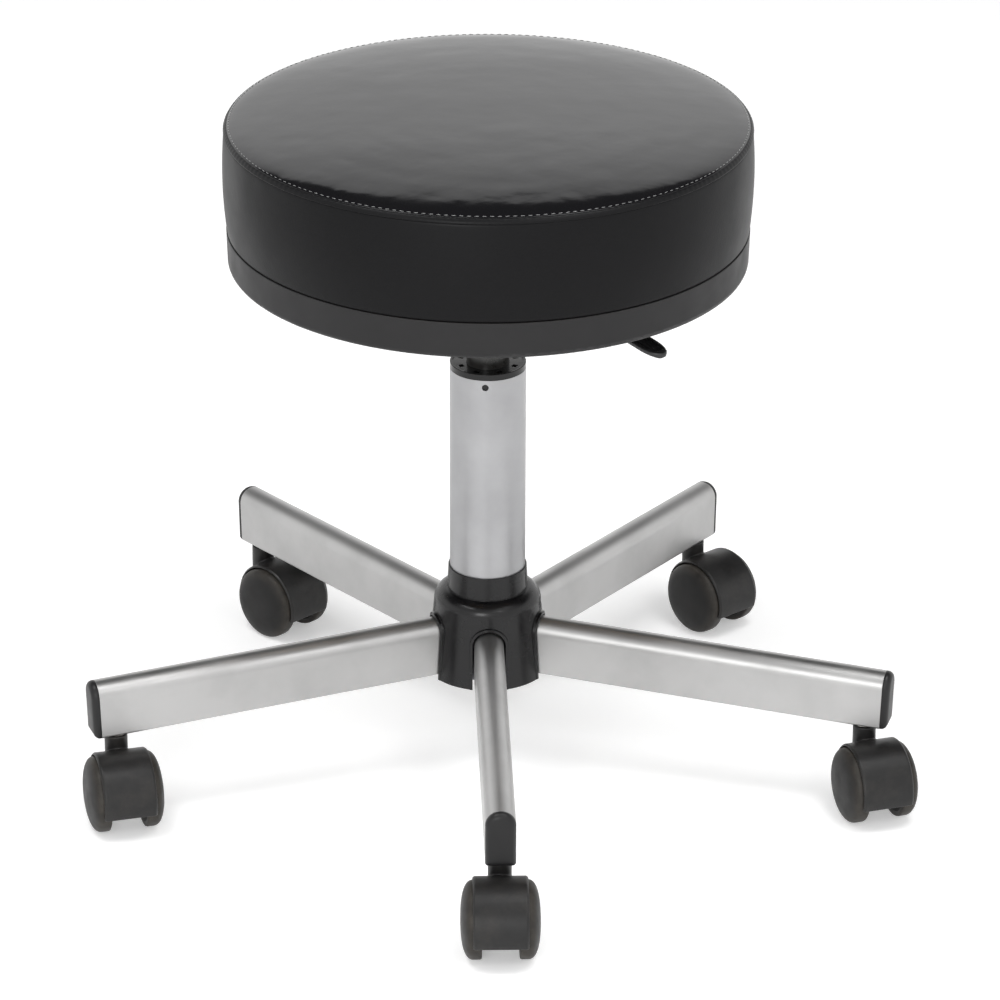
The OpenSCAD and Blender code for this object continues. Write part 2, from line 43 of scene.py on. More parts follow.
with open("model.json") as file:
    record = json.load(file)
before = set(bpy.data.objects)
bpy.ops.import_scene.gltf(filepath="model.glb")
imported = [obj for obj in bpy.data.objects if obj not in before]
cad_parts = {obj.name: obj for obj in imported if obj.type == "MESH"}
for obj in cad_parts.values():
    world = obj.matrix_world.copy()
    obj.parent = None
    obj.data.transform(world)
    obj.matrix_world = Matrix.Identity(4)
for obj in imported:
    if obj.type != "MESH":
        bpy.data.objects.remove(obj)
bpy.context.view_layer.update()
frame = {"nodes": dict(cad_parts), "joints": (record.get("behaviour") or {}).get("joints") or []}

MM = 0.001
JOINTS = {joint["name"]: joint for joint in frame["joints"]}
ARM_NUMBERS = range(1, 6)
BAND_LOW, BAND_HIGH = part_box("seat_side_cover")
PANEL_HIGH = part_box("seat_top_cover")[1]


# ---- Meshes ----

def new_object(name, vertices, faces):
    """A smooth-shaded mesh object from points and faces, in the scene."""
    mesh = bpy.data.meshes.new(name)
    mesh.from_pydata(vertices, [], faces)
    mesh.validate()
    mesh.shade_smooth()
    made = bpy.data.objects.new(name, mesh)
    bpy.context.scene.collection.objects.link(made)
    return made


def tidy_mesh(made, merge=1e-6):
    """Merges doubles and turns every face outwards."""
    work = bmesh.new()
    work.from_mesh(made.data)
    bmesh.ops.remove_doubles(work, verts=work.verts, dist=merge)
    bmesh.ops.recalc_face_normals(work, faces=work.faces)
    work.to_mesh(made.data)
    work.free()
    made.data.shade_smooth()
    return made


def bake_modifiers(made):
    """Turns an object and its modifiers into a plain mesh."""
    graph = bpy.context.evaluated_depsgraph_get()
    plain = bpy.data.meshes.new_from_object(made.evaluated_get(graph))
    made.modifiers.clear()
    old, made.data = made.data, plain
    plain.name = made.name
    bpy.data.meshes.remove(old)
    return made


def skin_faces(rings, count, around=False, closed=True):
    """Quads between rings of count points. around joins the last ring to the first one."""
    faces = []
    for ring in range(rings if around else rings - 1):
        here, ahead = ring * count, (ring + 1) % rings * count
        for index in range(count if closed else count - 1):
            other = (index + 1) % count
            faces.append((here + index, ahead + index, ahead + other, here + other))
    return faces


def lathe(name, profile, segments=192, ripple=None):
    """Turns a closed line of (radius, height) points about Z. ripple(angle, index) adds to a radius."""
    vertices = []
    for step in range(segments):
        angle = math.tau * step / segments
        for index, (radius, height) in enumerate(profile):
            radius += ripple(angle, index) if ripple else 0.0
            vertices.append((radius * math.cos(angle), radius * math.sin(angle), height))
    return tidy_mesh(new_object(name, vertices, skin_faces(segments, len(profile), around=True)))


def arc(centre, radius, start, end, steps):
    """Points on an arc between two angles in degrees."""
    return [
        (
            centre[0] + radius * math.cos(math.radians(start + (end - start) * i / steps)),
            centre[1] + radius * math.sin(math.radians(start + (end - start) * i / steps)),
        )
        for i in range(steps + 1)
    ]


def place(made, matrix):
    """Moves a piece's mesh to its place and leaves its object at the origin."""
    made.data.transform(matrix)
    if matrix.determinant() < 0:
        made.data.flip_normals()
    return made


def finish_piece(made, body, material, replaced=()):
    """Gives a finished piece its material and its body, and hides the CAD nodes it stands for."""
    made.data.materials.clear()
    made.data.materials.append(material)
    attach(made, body)
    if replaced:
        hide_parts(*replaced)
    return made


def coat_node(name, material):
    """Gives a CAD node its material."""
    mesh = frame["nodes"][name].data
    mesh.materials.clear()
    mesh.materials.append(material)


# ---- Materials ----

def add_node(tree, kind, inputs, **settings):
    """Adds a node with its settings to a tree. Each input is a value or another node's output."""
    node = tree.nodes.new(kind)
    for name, value in settings.items():
        setattr(node, name, value)
    for socket, value in inputs.items():
        if isinstance(value, bpy.types.NodeSocket):
            tree.links.new(value, node.inputs[socket])
        else:
            node.inputs[socket].default_value = value
    return node


class Finish:
    """A material under construction: a Principled shader whose patterns read Object coordinates."""

    def __init__(self, name, color, roughness, metallic=0.0, **sockets):
        self.material = bpy.data.materials.new(name)
        self.material.use_nodes = True
        self.tree = self.material.node_tree
        self.shader = self.tree.nodes["Principled BSDF"]
        self.shader.inputs["Base Color"].default_value = (*color, 1.0)
        self.shader.inputs["Roughness"].default_value = roughness
        self.shader.inputs["Metallic"].default_value = metallic
        for socket, value in sockets.items():
            self.shader.inputs[socket.replace("_", " ")].default_value = value
        self.coordinates = self.tree.nodes.new("ShaderNodeTexCoord").outputs["Object"]
        self.normal = None
        self.material.diffuse_color = (*color, 1.0)

    def feed(self, name, output):
        """Links an output to one of the shader's inputs."""
        self.tree.links.new(output, self.shader.inputs[name])

    def noise(self, scale, detail=2.0, roughness=0.5, stretch=(1.0, 1.0, 1.0)):
        """A noise pattern, scale repeats to the metre, drawn out along the axes by stretch."""
        mapping = add_node(self.tree, "ShaderNodeMapping", {"Scale": stretch, "Vector": self.coordinates})
        return add_node(self.tree, "ShaderNodeTexNoise", {
            "Scale": scale, "Detail": detail, "Roughness": roughness, "Vector": mapping.outputs["Vector"],
        }).outputs["Fac"]

    def cells(self, scale):
        """A pattern of soft cells, scale to the metre, for grain."""
        inputs = {"Scale": scale, "Vector": self.coordinates}
        return add_node(self.tree, "ShaderNodeTexVoronoi", inputs, feature="SMOOTH_F1").outputs["Distance"]

    def spread(self, pattern, low, high, to_low=0.0, to_high=1.0):
        """Maps the part of a pattern between low and high to a new range."""
        return add_node(self.tree, "ShaderNodeMapRange", {
            "From Min": low, "From Max": high, "To Min": to_low, "To Max": to_high, "Value": pattern,
        }).outputs["Result"]

    def multiply(self, first, second):
        """The product of two patterns."""
        inputs = {0: first, 1: second}
        return add_node(self.tree, "ShaderNodeMath", inputs, operation="MULTIPLY").outputs["Value"]

    def attribute(self, name):
        """A number stored on the piece's own points."""
        return add_node(self.tree, "ShaderNodeAttribute", {}, attribute_name=name).outputs["Fac"]

    def mix(self, pattern, under, over):
        """Mixes two colours by a pattern into the base colour."""
        inputs = {"A": under, "B": over, "Factor": pattern}
        mixed = add_node(self.tree, "ShaderNodeMix", inputs, data_type="RGBA").outputs["Result"]
        self.feed("Base Color", mixed)
        return mixed

    def color_by(self, pattern, first, second):
        """Mixes two plain colours by a pattern."""
        return self.mix(pattern, (*first, 1.0), (*second, 1.0))

    def color_over(self, under, pattern, color):
        """Lays one more colour over an earlier mix."""
        return self.mix(pattern, under, (*color, 1.0))

    def roughness_by(self, pattern, low, high):
        """Lets the roughness follow a pattern."""
        self.feed("Roughness", self.spread(pattern, 0.25, 0.75, low, high))

    def round_edges(self, radius):
        """Softens sharp edges."""
        self.normal = add_node(self.tree, "ShaderNodeBevel", {"Radius": radius}, samples=6).outputs["Normal"]
        self.feed("Normal", self.normal)

    def relief(self, pattern, depth, strength=1.0):
        """Adds a pattern's relief, depth in metres."""
        inputs = {"Distance": depth, "Strength": strength, "Height": pattern}
        if self.normal:
            inputs["Normal"] = self.normal
        self.normal = add_node(self.tree, "ShaderNodeBump", inputs).outputs["Normal"]
        self.feed("Normal", self.normal)


def patent_vinyl():
    """Glossy black vinyl with the faint waves of stretched film."""
    made = Finish("patent_vinyl", (0.0065, 0.0064, 0.0072), 0.08, Specular_IOR_Level=0.34)
    made.roughness_by(made.noise(28, 3), 0.05, 0.12)
    made.relief(made.noise(42, 2, 0.4), 0.00022)
    made.relief(made.noise(240, 2), 0.000014)
    return made.material


def satin_vinyl():
    """Black upholstery vinyl with a fine leather grain."""
    made = Finish("satin_vinyl", (0.004, 0.004, 0.0044), 0.4, Specular_IOR_Level=0.13)
    made.color_by(made.noise(14, 3), (0.0028, 0.0028, 0.0032), (0.005, 0.0049, 0.0055))
    made.roughness_by(made.noise(22, 3), 0.34, 0.46)
    made.relief(made.cells(950), 0.00006, 0.5)
    made.relief(made.noise(60, 2), 0.00025, 0.5)
    return made.material


def thread_painted_glint():
    """Bonded sewing thread, made light grey to stand in for the glints on the stitches: a painted highlight.
    """
    # Painted highlight: the light grey base colour stands in for the glints on the stitches.
    made = Finish("thread_painted_glint", (0.17, 0.17, 0.17), 0.3, Specular_IOR_Level=0.8)
    made.relief(made.noise(2600, 1, stretch=(1.0, 1.0, 3.0)), 0.00004)
    return made.material


def textured_plastic(name, color, roughness, edge, grain=1400, mottle=(0.85, 1.2), shine=0.35):
    """Moulded black plastic with a fine spark texture, faint mottling and soft edges."""
    made = Finish(name, color, roughness, Specular_IOR_Level=shine)
    dark = [channel * mottle[0] for channel in color]
    light = [channel * mottle[1] for channel in color]
    made.color_by(made.noise(30, 4), dark, light)
    made.roughness_by(made.noise(55, 3), roughness - 0.05, roughness + 0.08)
    made.round_edges(edge)
    made.relief(made.noise(grain, 2), 0.00002, 0.6)
    return made.material


def satin_metal(name, color, roughness, stretch, edge=0.0004, smudge=0.06, scale=900):
    """Bright metal with fine brush lines, drawn out along one axis, and faint smudges."""
    made = Finish(name, color, roughness, 1.0)
    dull = [channel * 0.86 for channel in color]
    made.color_by(made.spread(made.noise(18, 4, 0.6), 0.42, 0.75), color, dull)
    made.roughness_by(made.noise(26, 4, 0.6), roughness - smudge / 2, roughness + smudge)
    made.round_edges(edge)
    made.relief(made.noise(scale, 2, stretch=stretch), 0.000006, 0.5)
    return made.material


# ---- Seat ----

class SeatSettings(bpy.types.PropertyGroup):
    """Sizes of the upholstery"""
    swell: bpy.props.FloatProperty(
        name="Swell", description="Share of the crown that the stuffing pushes up",
        default=0.25, min=0.0, max=0.6, subtype="FACTOR",
    )
    strip_height: bpy.props.FloatProperty(
        name="Strip", description="Height of the topstitched strip under the top seam",
        default=4.1 * MM, min=2 * MM, max=10 * MM, unit="LENGTH",
    )
    stitch_pitch: bpy.props.FloatProperty(
        name="Stitch pitch", description="Distance from one stitch to the next",
        default=4.7 * MM, min=2 * MM, max=8 * MM, unit="LENGTH",
    )
    stitch_inset: bpy.props.FloatProperty(
        name="Stitch inset", description="Distance of the stitches from the top seam",
        default=1.5 * MM, min=0.5 * MM, max=5 * MM, unit="LENGTH",
    )
    thread: bpy.props.FloatProperty(
        name="Thread", description="Thickness of the thread",
        default=0.44 * MM, min=0.3 * MM, max=1.5 * MM, unit="LENGTH",
    )
    vinyl: bpy.props.FloatProperty(
        name="Vinyl", description="Thickness of the vinyl",
        default=1.2 * MM, min=0.6 * MM, max=2 * MM, unit="LENGTH",
    )


SEAM_HEIGHT = BAND_HIGH.z
SEAM_RADIUS = PANEL_HIGH.x + 1.2 * MM
CROWN = PANEL_HIGH.z - SEAM_HEIGHT


def crown_height(share):
    """Height of the crown above the seam at a share of its radius: flat on top, steeper to the edge."""
    return CROWN * max(0.0, 1 - share ** 2.4) ** 0.75


def disc_point(u, v):
    """Maps a point of the square from -1 to 1 onto the unit disc, with even cells."""
    if abs(u) < 1e-9 and abs(v) < 1e-9:
        return 0.0, 0.0
    if abs(u) >= abs(v):
        radius, angle = u, math.pi / 4 * v / u
    else:
        radius, angle = v, math.pi / 2 - math.pi / 4 * u / v
    return radius * math.cos(angle), radius * math.sin(angle)


def swell_cloth(made, pinned, pressure, cap):
    """Blows a pinned skin up with Cloth and caps how far each point may move."""
    group = made.vertex_groups.new(name="seam")
    group.add(pinned, 1.0, "REPLACE")
    cloth = made.modifiers.new("stuffing", "CLOTH")
    settings = cloth.settings
    settings.quality = 6
    settings.mass = 0.3
    settings.tension_stiffness = 30
    settings.compression_stiffness = 30
    settings.shear_stiffness = 15
    settings.bending_stiffness = 6
    settings.vertex_group_mass = "seam"
    settings.use_pressure = True
    settings.uniform_pressure_force = pressure
    settings.effector_weights.gravity = 0.0
    cloth.point_cache.frame_start = 1
    cloth.point_cache.frame_end = 20
    scene = bpy.context.scene
    for step in range(1, 21):
        scene.frame_set(step)
    start = [point.co.copy() for point in made.data.vertices]
    bake_modifiers(made)
    scene.frame_set(1)
    for point, origin in zip(made.data.vertices, start):
        move = point.co - origin
        if move.length > cap:
            point.co = origin + move.normalized() * cap
    made.vertex_groups.clear()
    return made


class STOOL_OT_seat_top(bpy.types.Operator):
    """Make the crowned patent top panel, blown up by cloth simulation and sewn down at the seam"""
    bl_idname = "stool.seat_top"
    bl_label = "Seat top"

    def execute(self, context):
        settings = context.scene.stool_seat
        cells = 64
        side = cells + 1
        low = 1 - settings.swell
        vertices = []
        for row in range(side):
            for column in range(side):
                x, y = disc_point(2 * column / cells - 1, 2 * row / cells - 1)
                height = low * crown_height(min(1.0, math.hypot(x, y)))
                vertices.append((x * SEAM_RADIUS, y * SEAM_RADIUS, SEAM_HEIGHT + height))
        faces = [
            (r * side + c, r * side + c + 1, (r + 1) * side + c + 1, (r + 1) * side + c)
            for r in range(cells) for c in range(cells)
        ]
        made = new_object("seat_top", vertices, faces)
        rim = [
            r * side + c for r in range(side) for c in range(side)
            if r in (0, cells) or c in (0, cells)
        ]
        swell_cloth(made, rim, 4.0, 5 * MM)
        self.level_crown(made)
        self.close_under(made)
        made.modifiers.new("smooth", "SUBSURF").levels = 2
        made.modifiers["smooth"].render_levels = 2
        bake_modifiers(made)
        made.data.shade_smooth()
        finish_piece(made, "seat", patent_vinyl(), ("seat_foam", "seat_top_cover"))
        return {"FINISHED"}

    @staticmethod
    def level_crown(made):
        """Evens the stuffing out to the crown's profile, keeping its small dents, and adds slow waves."""
        bands = 24
        heights = [[] for _ in range(bands + 1)]
        for point in made.data.vertices:
            share = min(1.0, point.co.xy.length / SEAM_RADIUS)
            heights[round(share * bands)].append(point.co.z - SEAM_HEIGHT)
        middle = [sum(band) / len(band) if band else 0.0 for band in heights]
        for point in made.data.vertices:
            share = min(1.0, point.co.xy.length / SEAM_RADIUS)
            step = min(bands - 1, int(share * bands))
            part = share * bands - step
            usual = middle[step] * (1 - part) + middle[step + 1] * part
            dent = (point.co.z - SEAM_HEIGHT - usual) * 0.6
            dent = max(-0.3 * MM, min(0.3 * MM, dent))
            waves = 0.15 * MM * noise.noise(point.co * 24) + 0.05 * MM * noise.noise(point.co * 70)
            point.co.z = SEAM_HEIGHT + crown_height(share) + (dent + waves) * (1 - share ** 12)

    @staticmethod
    def close_under(made):
        """Tucks the panel's edge into the seam and closes it below as a pad."""
        work = bmesh.new()
        work.from_mesh(made.data)
        for radius, drop in ((-0.35, 0.5), (-1.4, 1.0), (-2.5, 3.0), (-3.0, 14.0), (-10.0, 16.0)):
            rim = [edge for edge in work.edges if edge.is_boundary]
            grown = bmesh.ops.extrude_edge_only(work, edges=rim)["geom"]
            for point in (item for item in grown if isinstance(item, bmesh.types.BMVert)):
                flat = point.co.xy.normalized() * (SEAM_RADIUS + radius * MM)
                point.co = (flat.x, flat.y, SEAM_HEIGHT - drop * MM)
        bmesh.ops.holes_fill(work, edges=[edge for edge in work.edges if edge.is_boundary])
        bmesh.ops.recalc_face_normals(work, faces=work.faces)
        work.to_mesh(made.data)
        work.free()


class STOOL_OT_seat_side(bpy.types.Operator):
    """Make the side band, stretched over the foam between the base pan and the strip"""
    bl_idname = "stool.seat_side"
    bl_label = "Seat side"

    def execute(self, context):
        settings = context.scene.stool_seat
        segments, rows = 240, 22
        high = SEAM_HEIGHT - settings.strip_height
        low = BAND_LOW.z
        widest = BAND_HIGH.x
        vertices = []
        for step in range(segments):
            angle = math.tau * step / segments
            for row in range(rows + 1):
                share = row / rows
                height = low + (high - low) * share
                sag = 7.6 * MM * (share * 0.94 - 0.55) ** 2 + 0.5 * MM
                radius = widest - sag
                vertices.append((radius * math.cos(angle), radius * math.sin(angle), height))
        faces = skin_faces(segments, rows + 1, around=True, closed=False)
        made = new_object("seat_side", vertices, faces)
        pinned = [step * (rows + 1) + row for step in range(segments) for row in (0, rows)]
        swell_cloth(made, pinned, 3.0, 0.6 * MM)
        self.crease(made, low, high)
        self.tuck(made, settings.vinyl)
        made.modifiers.new("smooth", "SUBSURF").levels = 1
        made.modifiers["smooth"].render_levels = 1
        bake_modifiers(made)
        made.data.shade_smooth()
        finish_piece(made, "seat", satin_vinyl(), ("seat_side_cover",))
        return {"FINISHED"}

    @staticmethod
    def crease(made, low, high):
        """Adds the small puckers under the seam and the slow unevenness of the foam."""
        for point in made.data.vertices:
            share = (point.co.z - low) / (high - low)
            pucker = 0.22 * MM * noise.noise(Vector((point.co.x * 90, point.co.y * 90, point.co.z * 20)))
            slow = 0.35 * MM * noise.noise(point.co * 13)
            outwards = pucker * share ** 6 + slow * math.sin(math.pi * min(1.0, max(0.0, share)))
            point.co.xy += point.co.xy.normalized() * outwards

    @staticmethod
    def tuck(made, thickness):
        """Rolls the band's edges inwards and gives it its thickness."""
        work = bmesh.new()
        work.from_mesh(made.data)
        middle = (BAND_LOW.z + BAND_HIGH.z) / 2
        for inset, rise in ((0.5, 0.35), (1.6, 0.45), (3.0, -0.6)):
            rim = [edge for edge in work.edges if edge.is_boundary]
            grown = bmesh.ops.extrude_edge_only(work, edges=rim)["geom"]
            for point in (item for item in grown if isinstance(item, bmesh.types.BMVert)):
                upper = point.co.z > middle
                edge_radius = point.co.xy.length
                flat = point.co.xy.normalized() * (edge_radius - inset * MM)
                lift = (rise if upper else -0.2 * rise) * MM
                point.co = (flat.x, flat.y, point.co.z + lift)
        work.to_mesh(made.data)
        work.free()
        wall = made.modifiers.new("wall", "SOLIDIFY")
        wall.thickness = thickness
        wall.offset = -1
        bake_modifiers(made)


class STOOL_OT_seam(bpy.types.Operator):
    """Make the narrow topstitched strip between the top seam and the side band"""
    bl_idname = "stool.seam"
    bl_label = "Seam strip"

    def execute(self, context):
        settings = context.scene.stool_seat
        low = SEAM_HEIGHT - settings.strip_height + 0.35 * MM
        lower_radius = SEAM_RADIUS + 1.9 * MM
        upper_radius = SEAM_RADIUS + 0.25 * MM
        high = SEAM_HEIGHT - 0.35 * MM
        outer = []
        for step in range(9):
            share = step / 8
            bow = 0.55 * MM * math.sin(math.pi * share) ** 0.6
            across = lower_radius + (upper_radius - lower_radius) * share
            outer.append((across + bow, low + (high - low) * share))
        inner = [
            (upper_radius - 1.0 * MM, high + 0.1 * MM), (upper_radius - 2.2 * MM, high - 1.2 * MM),
            (lower_radius - 3.2 * MM, low - 0.6 * MM), (lower_radius - 1.0 * MM, low - 0.35 * MM),
        ]
        stitches = round(math.tau * SEAM_RADIUS / settings.stitch_pitch)

        def pull(angle, index):
            depth = 0.12 if 5 <= index <= 8 else 0.05
            slow = noise.noise(Vector((math.cos(angle) * 6, math.sin(angle) * 6, 0)))
            return depth * MM * math.cos(stitches * angle) + 0.15 * MM * slow

        made = lathe("seat_seam_strip", outer + inner, 4 * stitches, ripple=pull)
        finish_piece(made, "seat", satin_vinyl())
        return {"FINISHED"}


class STOOL_OT_stitches(bpy.types.Operator):
    """Sew the ring of stitches along the edge of the top panel"""
    bl_idname = "stool.stitches"
    bl_label = "Stitches"

    def execute(self, context):
        settings = context.scene.stool_seat
        radius = SEAM_RADIUS - settings.stitch_inset
        height = SEAM_HEIGHT + crown_height(radius / SEAM_RADIUS) - 0.08 * MM
        made = new_object("seat_stitches", [], [])
        material = thread_painted_glint()
        tree = stitch_ring_tree(material)
        values = {
            "Count": round(math.tau * radius / settings.stitch_pitch),
            "Radius": radius, "Height": height, "Length": settings.stitch_pitch * 0.62,
            "Thickness": settings.thread,
        }
        run_tree(made, tree, values)
        finish_piece(made, "seat", material)
        return {"FINISHED"}


def tree_input(tree, name, kind, default):
    """Adds a named input to a Geometry Nodes tree."""
    socket = tree.interface.new_socket(name, in_out="INPUT", socket_type=kind)
    socket.default_value = default
    return socket


def run_tree(made, tree, values):
    """Runs a Geometry Nodes tree on an object with the given inputs and keeps the plain mesh."""
    modifier = made.modifiers.new(tree.name, "NODES")
    modifier.node_group = tree
    for item in tree.interface.items_tree:
        if item.in_out == "INPUT" and item.name in values:
            modifier[item.identifier] = values[item.name]
    return bake_modifiers(made)


def stitch_ring_tree(material):
    """A ring of thread stitches: Count, Radius, Height, Length and Thickness."""
    tree = bpy.data.node_groups.new("stitch_ring", "GeometryNodeTree")
    tree_input(tree, "Count", "NodeSocketInt", 200)
    tree_input(tree, "Radius", "NodeSocketFloat", 0.16)
    tree_input(tree, "Height", "NodeSocketFloat", 0.45)
    tree_input(tree, "Length", "NodeSocketFloat", 0.003)
    tree_input(tree, "Thickness", "NodeSocketFloat", 0.0006)
    tree.interface.new_socket("Geometry", in_out="OUTPUT", socket_type="NodeSocketGeometry")
    given = add_node(tree, "NodeGroupInput", {}).outputs
    ring = add_node(tree, "GeometryNodeMeshCircle", {"Vertices": given["Count"], "Radius": given["Radius"]})
    at = add_node(tree, "ShaderNodeCombineXYZ", {"Z": given["Height"]})
    lift = add_node(tree, "GeometryNodeTransform", {
        "Geometry": ring.outputs["Mesh"], "Translation": at.outputs["Vector"],
    })
    bead = add_node(tree, "GeometryNodeMeshUVSphere", {"Segments": 8, "Rings": 6, "Radius": 0.5})
    size = add_node(tree, "ShaderNodeCombineXYZ", {
        "X": given["Thickness"], "Y": given["Length"], "Z": given["Thickness"],
    })
    position = add_node(tree, "GeometryNodeInputPosition", {})
    inputs = {0: position.outputs["Position"], 1: (1.0, 1.0, 0.0)}
    flat = add_node(tree, "ShaderNodeVectorMath", inputs, operation="MULTIPLY")
    inputs = {"Vector": flat.outputs["Vector"]}
    face_out = add_node(tree, "FunctionNodeAlignRotationToVector", inputs, axis="X", pivot_axis="Z")
    lean = (0.12, 0.05, 0.10)
    inputs = {0: tuple(-turn for turn in lean), 1: lean, "Seed": 7}
    tilt = add_node(tree, "FunctionNodeRandomValue", inputs, data_type="FLOAT_VECTOR")
    inputs = {"Rotation": face_out.outputs["Rotation"], "Rotate By": tilt.outputs[0]}
    turned = add_node(tree, "FunctionNodeRotateRotation", inputs, rotation_space="LOCAL")
    put = add_node(tree, "GeometryNodeInstanceOnPoints", {
        "Points": lift.outputs["Geometry"], "Instance": bead.outputs["Mesh"],
        "Rotation": turned.outputs["Rotation"], "Scale": size.outputs["Vector"],
    })
    real = add_node(tree, "GeometryNodeRealizeInstances", {"Geometry": put.outputs["Instances"]})
    smooth = add_node(tree, "GeometryNodeSetShadeSmooth", {"Geometry": real.outputs["Geometry"]})
    inputs = {"Geometry": smooth.outputs["Geometry"], "Material": material}
    dress = add_node(tree, "GeometryNodeSetMaterial", inputs)
    add_node(tree, "NodeGroupOutput", {"Geometry": dress.outputs["Geometry"]})
    return tree


class STOOL_OT_under_seat(bpy.types.Operator):
    """Finish the base pan, board, mechanism and lever"""
    bl_idname = "stool.under_seat"
    bl_label = "Under the seat"

    def execute(self, context):
        pan = textured_plastic("pan_plastic", (0.0135, 0.0131, 0.0136), 0.46, 0.9 * MM, 1100, shine=0.24)
        coat_node("base_pan", pan)
        ply = Finish("plywood", (0.50, 0.34, 0.18), 0.6)
        ply.color_by(ply.noise(6, 5, 0.6, (1.0, 9.0, 60.0)), (0.55, 0.38, 0.21), (0.36, 0.23, 0.11))
        ply.relief(ply.noise(400, 3, stretch=(1.0, 8.0, 1.0)), 0.0001, 0.5)
        coat_node("seat_board", ply.material)
        painted = textured_plastic("black_enamel", (0.010, 0.0095, 0.0085), 0.24, 0.6 * MM, 500, shine=0.6)
        zinc = satin_metal("zinc_plate", (0.62, 0.60, 0.55), 0.32, (1.0, 1.0, 1.0))
        for name in ("seat_mechanism", "gas_cylinder"):
            coat_node(name, painted)
        for name in ("mechanism_bolts", "tee_nuts", "pan_screws", "lever_rod", "lever_pivot"):
            coat_node(name, zinc)
        coat_node("release_pin", satin_metal("brass_pin", (0.75, 0.55, 0.25), 0.3, (1.0, 1.0, 1.0)))
        coat_node("rod_guide", textured_plastic("guide_plastic", (0.02, 0.02, 0.02), 0.4, 0.3 * MM))
        return {"FINISHED"}


class LeverSettings(bpy.types.PropertyGroup):
    """Sizes of the height lever's paddle"""
    tip: bpy.props.FloatProperty(
        name="Tip", description="Distance of the paddle's tip from the column's axis",
        default=155.5 * MM, min=140 * MM, max=180 * MM, unit="LENGTH",
    )
    half_width: bpy.props.FloatProperty(
        name="Half width", description="Half the paddle's width where the finger pulls",
        default=7.8 * MM, min=5 * MM, max=12 * MM, unit="LENGTH",
    )
    half_thickness: bpy.props.FloatProperty(
        name="Half thickness", description="Half the blade's thickness",
        default=2.3 * MM, min=1.5 * MM, max=5 * MM, unit="LENGTH",
    )
    tilt: bpy.props.FloatProperty(
        name="Tilt", description="Slope of the blade", default=math.radians(11), subtype="ANGLE",
    )


def ease(value):
    """A smooth step from 0 to 1."""
    value = max(0.0, min(1.0, value))
    return value * value * (3 - 2 * value)


def squared_ring(half_width, half_height, power, count):
    """Points round a rounded rectangle-like ring."""
    ring = []
    for step in range(count):
        turn = math.tau * step / count
        across, up = math.cos(turn), math.sin(turn)
        ring.append((
            math.copysign(abs(across) ** (2 / power), across) * half_width,
            math.copysign(abs(up) ** (2 / power), up) * half_height,
        ))
    return ring


def loft(name, rings):
    """Joins rings of equal length into a closed skin with capped ends."""
    count = len(rings[0])
    vertices = [point for ring in rings for point in ring]
    faces = skin_faces(len(rings), count)
    faces.append(tuple(reversed(range(count))))
    faces.append(tuple((len(rings) - 1) * count + index for index in range(count)))
    return tidy_mesh(new_object(name, vertices, faces))


class STOOL_OT_lever(bpy.types.Operator):
    """Make the moulded lever paddle: a boss round the rod that flattens into a ribbed, dished blade"""
    bl_idname = "stool.lever"
    bl_label = "Lever"

    def execute(self, context):
        settings = context.scene.stool_lever
        joint = JOINTS["lever_lift"]
        pivot, axis = Vector(joint["pos_m"]), Vector(joint["axis"])
        outwards = Vector((-axis.y, axis.x, 0)).normalized()
        across = Vector((-outwards.y, outwards.x, 0))
        root = 106 * MM
        start = pivot + outwards * (root - pivot.xy.length)
        stations, count = 110, 112
        rings = []
        for station in range(stations + 1):
            along = (settings.tip - root) * (1 - (1 - station / stations) ** 1.5)
            rings.append([
                self.placed(start, outwards, across, settings.tilt, along, side, up)
                for side, up in self.section(settings, along, settings.tip - root - along, count)
            ])
        made = loft("lever_blade", rings)
        plastic = textured_plastic("lever_plastic", (0.011, 0.011, 0.0115), 0.27, 0.3 * MM, shine=0.45)
        finish_piece(made, "lever", plastic, ("lever_paddle",))
        return {"FINISHED"}

    @staticmethod
    def placed(start, outwards, across, tilt, along, side, up):
        """A blade point in the stool's frame."""
        level = along * math.cos(tilt) + up * math.sin(tilt)
        rise = up * math.cos(tilt) - along * math.sin(tilt)
        point = start + outwards * level + across * side
        return (point.x, point.y, point.z + rise)

    @staticmethod
    def section(settings, along, left, count):
        """The blade's section at a distance from its root: (side, up) points."""
        flat = ease((along - 8 * MM) / (18 * MM))
        tip_round = 15 * MM
        narrowing = math.sqrt(max(0.0, 1 - max(0.0, 1 - left / tip_round) ** 2))
        thinning = math.sqrt(max(0.0, 1 - max(0.0, 1 - left / (2.4 * MM)) ** 2))
        half_width = (5.4 * MM * (1 - flat) + settings.half_width * flat) * max(0.02, narrowing)
        half_height = (4.5 * MM * (1 - flat) + settings.half_thickness * flat) * max(0.05, thinning)
        side_shift, drop = 1.4 * MM * flat, -4.4 * MM * flat
        dish = ease((along - 19 * MM) / (4 * MM)) * ease((left - 3.5 * MM) / (2.5 * MM))
        points = []
        for side, up in squared_ring(half_width, half_height, 3.4, count):
            if up > 0:
                inside = ease((half_width - 1.6 * MM - abs(side)) / (1.0 * MM))
                ribs = sum(ease(1 - abs(side - place) / (0.95 * MM)) for place in (-2.2 * MM, 0.0, 2.2 * MM))
                up -= 1.7 * MM * dish * inside * (1 - 0.85 * min(1.0, ribs))
            points.append((side + side_shift, up + drop))
        return points


